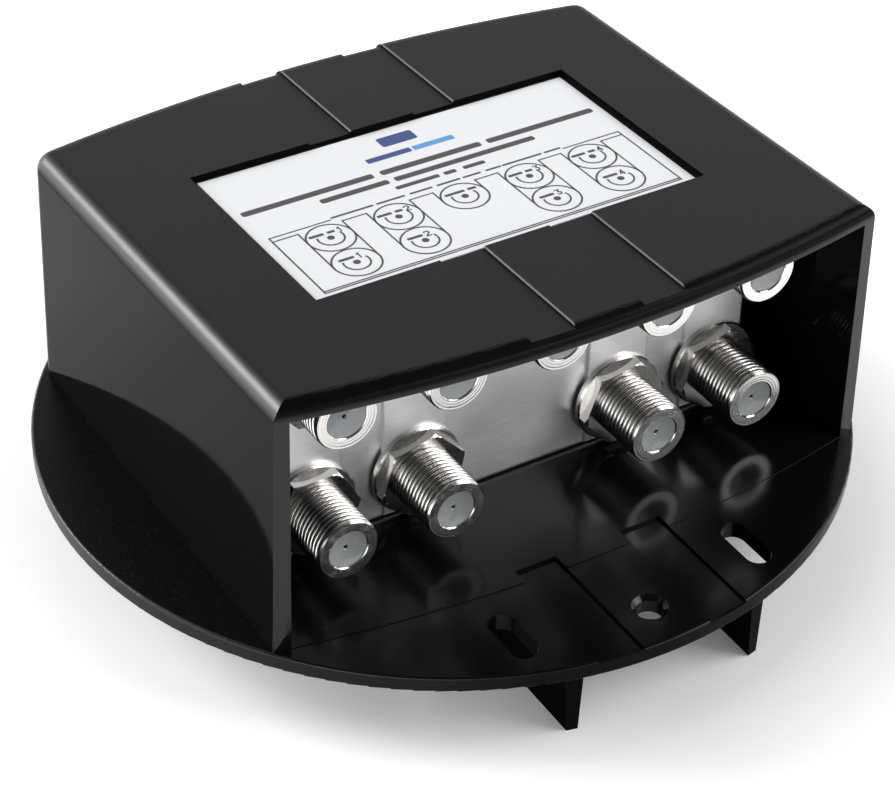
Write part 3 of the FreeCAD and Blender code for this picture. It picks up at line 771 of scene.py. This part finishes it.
class Print:
    """Thin flat prisms that lie on the label, gathered in one mesh."""

    def __init__(self):
        low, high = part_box("label")
        self.front_z = high[2] / MM
        self.front_y = low[1] / MM
        self.bm = bmesh.new()

    def surface(self, y):
        """Height of the label's face, which falls towards the back."""
        return self.front_z - LABEL_FALL * (y - self.front_y)

    def prism(self, left, right, closed=False):
        """Strip between two rows of points, with its thickness; a closed strip is a ring."""
        layers = []
        for lift in (-PRINT_SINK, PRINT_HEIGHT):
            layer = []
            for row in (left, right):
                layer.append([self.bm.verts.new(
                    Vector((x, y, self.surface(y) + lift)) * MM) for x, y in row])
            layers.append(layer)
        count = len(left)
        spans = count if closed else count - 1
        for index in range(spans):
            after = (index + 1) % count
            (a, b), (c, d) = layers
            self.bm.faces.new((c[index], c[after], d[after], d[index]))
            self.bm.faces.new((b[index], b[after], a[after], a[index]))
            self.bm.faces.new((a[index], a[after], c[after], c[index]))
            self.bm.faces.new((d[index], d[after], b[after], b[index]))
        if not closed:
            for index in (0, count - 1):
                (a, b), (c, d) = layers
                self.bm.faces.new((a[index], c[index], d[index], b[index]))

    def line(self, x0, y0, x1, y1, width):
        """Straight stroke that runs half its width past both ends."""
        along = Vector((x1 - x0, y1 - y0)).normalized() * width / 2
        side = Vector((-along.y, along.x))
        start = Vector((x0, y0)) - along
        end = Vector((x1, y1)) + along
        self.prism([start + side, end + side], [start - side, end - side])

    def ring(self, x, y, radius, width, first=0.0, last=360.0, steps=48):
        """Ring, or an arc between two angles in degrees."""
        closed = last - first >= 360.0
        count = steps if closed else steps + 1
        inner = []
        outer = []
        for index in range(count):
            angle = math.radians(first + (last - first) * index / steps)
            way = Vector((math.cos(angle), math.sin(angle)))
            inner.append(Vector((x, y)) + way * (radius - width / 2))
            outer.append(Vector((x, y)) + way * (radius + width / 2))
        self.prism(inner, outer, closed)

    def dot(self, x, y, radius):
        """Disc, as a ring whose hole is too small to see."""
        hole = 0.02
        self.ring(x, y, (radius + hole) / 2, radius - hole, steps=24)

    def bar(self, x0, x1, y, height, round_share=BAR_ROUND):
        """Bar along X with rounded corners."""
        radius = height * round_share
        steps = 5
        corner = []
        for index in range(steps + 1):
            angle = math.radians(90.0 * index / steps)
            rise = height / 2 - radius + radius * math.sin(angle)
            corner.append((radius - radius * math.cos(angle), y + rise))
        top = [(x0 + inset, py) for inset, py in corner]
        top += [(x1 - inset, py) for inset, py in reversed(corner)]
        bottom = [(px, 2 * y - py) for px, py in top]
        self.prism(top, bottom)

    def piece(self, name, material):
        """Ends the mesh and makes it a piece of the scene."""
        bmesh.ops.recalc_face_normals(self.bm, faces=self.bm.faces[:])
        mesh = bpy.data.meshes.new(name)
        self.bm.to_mesh(mesh)
        self.bm.free()
        piece = bpy.data.objects.new(name, mesh)
        scene.collection.objects.link(piece)
        mesh.materials.append(material)
        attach(piece, "root")


def label_print():
    """Outline of the case, the nine ports with their numbers, and bars in place of words."""
    ink = Print()
    left, right, top, front = LABEL_FRAME
    for x in (left, right):
        ink.line(x, top, x, front, FRAME_LINE)
    for y in (front, front + FRAME_DOUBLE):
        ink.line(left, y, right, y, FRAME_LINE)
    gap_left, gap_right = FRAME_GAP
    ink.line(left, top, gap_left, top, FRAME_LINE)
    ink.line(gap_right, top, right, top, FRAME_LINE)
    shelf = top - SHELF_DROP
    edges = [left]
    for column in LABEL_COLUMNS:
        edges += [column - PORT_RING, column + PORT_RING]
    edges.append(right)
    for index in range(0, len(edges), 2):
        ink.line(edges[index], shelf, edges[index + 1], shelf, FRAME_LINE)
    for index, x in enumerate(LABEL_COLUMNS):
        middle = index == len(LABEL_COLUMNS) // 2
        rows = (UPPER_PORT_Y,) if middle else (UPPER_PORT_Y, LOWER_PORT_Y)
        for side in (-1, 1):
            ink.line(x + side * PORT_RING, shelf, x + side * PORT_RING, rows[-1], FRAME_LINE)
        for row, y in enumerate(rows):
            ink.ring(x, y, PORT_RING, PORT_LINE, steps=64)
            ink.ring(x, y, PORT_ARC, PORT_LINE, *ARC_ANGLES)
            ink.dot(x, y, PORT_DOT)
            words = PORT_WORDS[0 if middle else row + 1]
            for x0, x1 in words:
                ink.bar(x + x0, x + x1, y + NUMBER_RISE, PORT_WORD_HEIGHT)
            if middle:
                continue
            # Columns on either side of the middle one are numbered 1 to 4
            number = index + 1 if index < 2 else index
            corner_x = x + words[-1][1] + NUMBER_GAP
            corner_y = y + NUMBER_RISE - NUMBER_HEIGHT / 2
            for stroke in NUMERALS[number]:
                points = [(corner_x + NUMBER_WIDTH * px, corner_y + NUMBER_HEIGHT / 2 * py)
                          for px, py in stroke]
                for start, end in zip(points, points[1:]):
                    ink.line(*start, *end, NUMBER_LINE)
    for y, height, words in WORD_BARS:
        for x0, x1 in words:
            ink.bar(x0, x1, y, height)
    ink.piece("label_print", materials["ink_black"])

    for name, bars, ink_name in (("label_field_dark", DARK_FIELDS, "ink_dark_blue"),
                                 ("label_field_light", LIGHT_FIELDS, "ink_light_blue")):
        field = Print()
        for x0, x1, y, height in bars:
            field.bar(x0, x1, y, height, FIELD_ROUND)
        field.piece(name, materials[ink_name])


for port in PORTS:
    connector_piece(port, materials["connector_face"])
label_print()


# Camera

def make_camera():
    forward = Vector((
        math.sin(CAMERA_AZIMUTH) * math.cos(CAMERA_DOWN),
        math.cos(CAMERA_AZIMUTH) * math.cos(CAMERA_DOWN),
        -math.sin(CAMERA_DOWN),
    ))
    level = Vector((math.cos(CAMERA_AZIMUTH), -math.sin(CAMERA_AZIMUTH), 0.0))
    upright = level.cross(forward)
    right = level * math.cos(CAMERA_ROLL) + upright * math.sin(CAMERA_ROLL)
    up = right.cross(forward)
    data = bpy.data.cameras.new("camera")
    data.sensor_width = SENSOR_MM
    data.lens = FOCAL_PIXELS / IMAGE_WIDTH * SENSOR_MM
    data.clip_start = 0.01
    camera = bpy.data.objects.new("camera", data)
    turn = Matrix((right, up, -forward)).transposed()
    camera.matrix_world = Matrix.Translation(CAMERA_PLACE) @ turn.to_4x4()
    scene.collection.objects.link(camera)
    scene.camera = camera


# Light and floor

def softbox(name, azimuth, elevation, distance, width, height, power):
    """Area lamp that faces the middle of the part; azimuth 0 stands in front, 90 to the right."""
    data = bpy.data.lights.new(name, "AREA")
    data.shape = "RECTANGLE"
    data.size = width
    data.size_y = height
    data.energy = power
    lamp = bpy.data.objects.new(name, data)
    a = math.radians(azimuth)
    e = math.radians(elevation)
    away = Vector((math.sin(a) * math.cos(e), -math.cos(a) * math.cos(e), math.sin(e)))
    lamp.location = LAMP_AIM + distance * away
    lamp.rotation_euler = (-away).to_track_quat("-Z", "Y").to_euler()
    scene.collection.objects.link(lamp)


def seen_ray(tree):
    """One for rays that show a surface, straight or in metal or glass, and nought for light."""
    path = add(tree, "ShaderNodeLightPath")
    seen = math_node(tree, "MAXIMUM", (path, "Is Camera Ray"), (path, "Is Glossy Ray"))
    return math_node(tree, "MAXIMUM", (seen, 0), (path, "Is Transmission Ray"))


def make_floor():
    """Pale floor with a painted glow for rays that show it, which lightens the floor and its
    shade away from the middle and towards the left.
    """
    bm = bmesh.new()
    bmesh.ops.create_circle(bm, cap_ends=True, segments=64, radius=FLOOR_RADIUS)
    mesh = bpy.data.meshes.new("floor")
    bm.to_mesh(mesh)
    bm.free()
    floor = bpy.data.objects.new("floor", mesh)
    scene.collection.objects.link(floor)
    material, tree, shader = new_material("floor")
    shader.inputs["Base Color"].default_value = FLOOR_COLOUR
    shader.inputs["Roughness"].default_value = FLOOR_ROUGH
    shader.inputs["Specular IOR Level"].default_value = 0.0
    place = object_place(tree)
    reach = add(tree, "ShaderNodeVectorMath", operation="LENGTH")
    join(tree, place, "Vector", reach, 0)
    near = spread(tree, reach, "Value", *NEAR_GLOW)
    far = spread(tree, reach, "Value", *FAR_GLOW)
    outward = math_node(tree, "ADD", (near, 0), (far, 0))
    side = add(tree, "ShaderNodeSeparateXYZ")
    join(tree, place, "Vector", side, "Vector")
    # Painted light that lightens the floor's shade towards the left
    leftward = spread(tree, side, "X", *LEFT_GLOW)
    glow = math_node(tree, "ADD", (outward, 0), (leftward, 0))
    join(tree, both(seen_ray(tree), glow), 0, shader, "Emission Strength")
    shader.inputs["Emission Color"].default_value = (1.0, 1.0, 1.0, 1.0)
    mesh.materials.append(material)


def make_world():
    """Studio room: pale behind, low down and at the sides, dark in front and overhead."""
    world = bpy.data.worlds.new("world")
    scene.world = world
    world.use_nodes = True
    tree = world.node_tree
    light = tree.nodes["Background"]
    place = add(tree, "ShaderNodeTexCoord")
    way = add(tree, "ShaderNodeSeparateXYZ")
    join(tree, place, "Generated", way, "Vector")

    def zone(rule):
        return spread(tree, way, *rule)

    def brighter(first, second):
        return math_node(tree, "MAXIMUM", (first, 0), (second, 0))

    left_front = both(both(zone(LEFT), zone(FRONT)), zone(NOT_HIGH))
    strip = both(zone(STRIP_LEFT), zone(STRIP_LOW))
    room = zone(BEHIND)
    for part in (zone(LOW), left_front, zone(RIGHT), strip):
        room = brighter(room, part)
    out_of_shade = brighter(zone(OUT_OF_SHADE_Y), zone(OUT_OF_SHADE_X))
    join(tree, both(room, out_of_shade), 0, light, "Strength")
    light.inputs["Color"].default_value = ROOM_COLOUR

    # White behind the part for rays that show it, but not where the strip or the shade are
    white = add(tree, "ShaderNodeBackground", inputs={
        "Color": (1.0, 1.0, 1.0, 1.0), "Strength": 1.0})
    path = add(tree, "ShaderNodeLightPath")
    mirrored = math_node(tree, "MAXIMUM", (path, "Is Glossy Ray"), (path, "Is Transmission Ray"))
    mirrored = both(both(mirrored, out_of_shade), spread(tree, strip, 0, 0.0, 1.0, 1.0, 0.0))
    seen = math_node(tree, "MAXIMUM", (path, "Is Camera Ray"), (mirrored, 0))
    mix = add(tree, "ShaderNodeMixShader")
    join(tree, both(seen, zone(HORIZON)), 0, mix, 0)
    join(tree, light, 0, mix, 1)
    join(tree, white, 0, mix, 2)
    join(tree, mix, 0, tree.nodes["World Output"], "Surface")


make_camera()
make_floor()
make_world()
for lamp in LAMPS:
    softbox(*lamp)

scene.view_settings.view_transform = "Standard"
